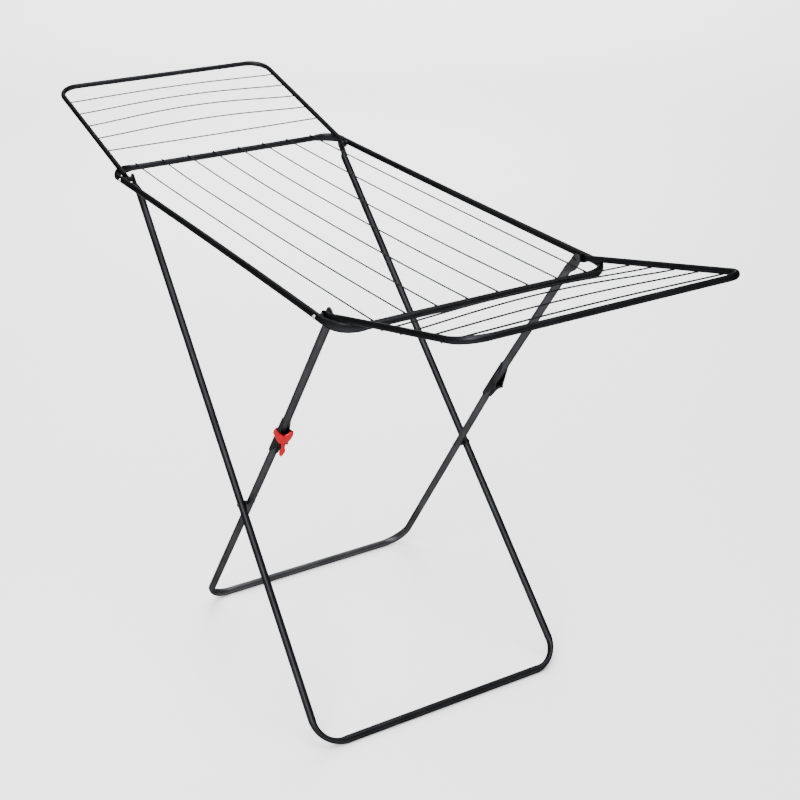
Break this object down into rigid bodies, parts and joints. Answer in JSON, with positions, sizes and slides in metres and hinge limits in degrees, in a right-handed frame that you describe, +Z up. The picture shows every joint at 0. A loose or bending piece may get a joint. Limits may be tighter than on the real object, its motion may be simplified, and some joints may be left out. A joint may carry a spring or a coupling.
{
  "type": "folding winged clothes airer",
  "caption": "Free-standing folding clothes airer: tube frame strung with wires, two tilted side wings and crossed U-shaped legs locked by a knee with a red clip.",
  "frame": {"origin": "on the floor, under the middle of the airer", "axes": "+X along the airer from wing to wing, +Y across it away from the side with the red clip, +Z up"},
  "size_m": [1.8332, 0.5896, 1.0638],
  "materials": {
    "painted_steel": "satin near-black paint",
    "coated_wire": "dark grey coating",
    "rivet_steel": "bright zinc",
    "black_plastic": "matt",
    "red_plastic": "semi-gloss"
  },
  "bodies": {
    "main_frame": {"main_frame": "painted_steel", "corner_rivet_left_far": "rivet_steel", "corner_rivet_left_near": "rivet_steel", "corner_rivet_right_far": "rivet_steel", "corner_rivet_right_near": "rivet_steel", "leg_spacer_left_far": "black_plastic", "leg_spacer_left_near": "black_plastic", "leg_spacer_right_far": "black_plastic", "leg_spacer_right_near": "black_plastic", "main_wire_1": "coated_wire", "main_wire_2": "coated_wire", "main_wire_3": "coated_wire", "main_wire_4": "coated_wire", "main_wire_5": "coated_wire", "main_wire_6": "coated_wire", "main_wire_7": "coated_wire", "main_wire_8": "coated_wire", "wing_washer_left_far": "black_plastic", "wing_washer_left_near": "black_plastic", "wing_washer_right_far": "black_plastic", "wing_washer_right_near": "black_plastic"},
    "wing_left": {"wing_left_frame": "painted_steel", "wing_left_wire_1": "coated_wire", "wing_left_wire_2": "coated_wire", "wing_left_wire_3": "coated_wire", "wing_left_wire_4": "coated_wire", "wing_left_wire_5": "coated_wire"},
    "wing_right": {"wing_right_frame": "painted_steel", "wing_right_wire_1": "coated_wire", "wing_right_wire_2": "coated_wire", "wing_right_wire_3": "coated_wire", "wing_right_wire_4": "coated_wire", "wing_right_wire_5": "coated_wire"},
    "outer_leg": {"outer_leg_frame": "painted_steel", "cross_rivet_far": "rivet_steel", "cross_rivet_near": "rivet_steel", "cross_spacer_far": "black_plastic", "cross_spacer_near": "black_plastic", "leg_pin_far": "rivet_steel", "leg_pin_near": "rivet_steel"},
    "inner_leg": {"inner_leg_frame": "painted_steel", "knee_lug_far": "painted_steel", "knee_lug_near": "painted_steel"},
    "link_near": {"upper_link_near": "painted_steel", "knee_bracket_near": "painted_steel", "knee_rivet_near": "rivet_steel"},
    "link_far": {"upper_link_far": "painted_steel", "knee_bracket_far": "painted_steel", "knee_rivet_far": "rivet_steel"},
    "safety_clip": {"safety_clip": "red_plastic"}
  },
  "joints": [
    {"name": "link_near_fold", "type": "hinge", "parent": "main_frame", "child": "link_near", "pos_m": [0.466, 0, 0.948], "axis": [0, 1, 0], "range_deg": [0, 50.97]},
    {"name": "link_far_fold", "type": "hinge", "parent": "main_frame", "child": "link_far", "pos_m": [0.466, 0, 0.948], "axis": [0, 1, 0], "range_deg": [0, 50.97]},
    {"name": "knee_fold", "type": "hinge", "parent": "link_near", "child": "inner_leg", "pos_m": [0.22604, 0, 0.59374], "axis": [0, -1, 0], "range_deg": [0, 170]},
    {"name": "leg_fold", "type": "hinge", "parent": "inner_leg", "child": "outer_leg", "pos_m": [0.0618, 0, 0.38803], "axis": [0, 1, 0], "range_deg": [0, 78.35]},
    {"name": "wing_left_fold", "type": "hinge", "parent": "main_frame", "child": "wing_left", "pos_m": [-0.466, 0, 0.948], "axis": [0, 1, 0], "range_deg": [0, 163.8]},
    {"name": "wing_right_fold", "type": "hinge", "parent": "main_frame", "child": "wing_right", "pos_m": [0.466, 0, 0.948], "axis": [0, -1, 0], "range_deg": [0, 163.8]},
    {"name": "clip_slide", "type": "slide", "parent": "link_near", "child": "safety_clip", "axis": [0.5895, 0, 0.8078], "range_m": [0, 0.03]}
  ],
  "couplings": [
    {"joint": "link_near_fold", "follows": "leg_fold", "ratio": 0.65025},
    {"joint": "link_far_fold", "follows": "leg_fold", "ratio": 0.65025},
    {"joint": "knee_fold", "follows": "leg_fold", "ratio": 2.1696}
  ]
}
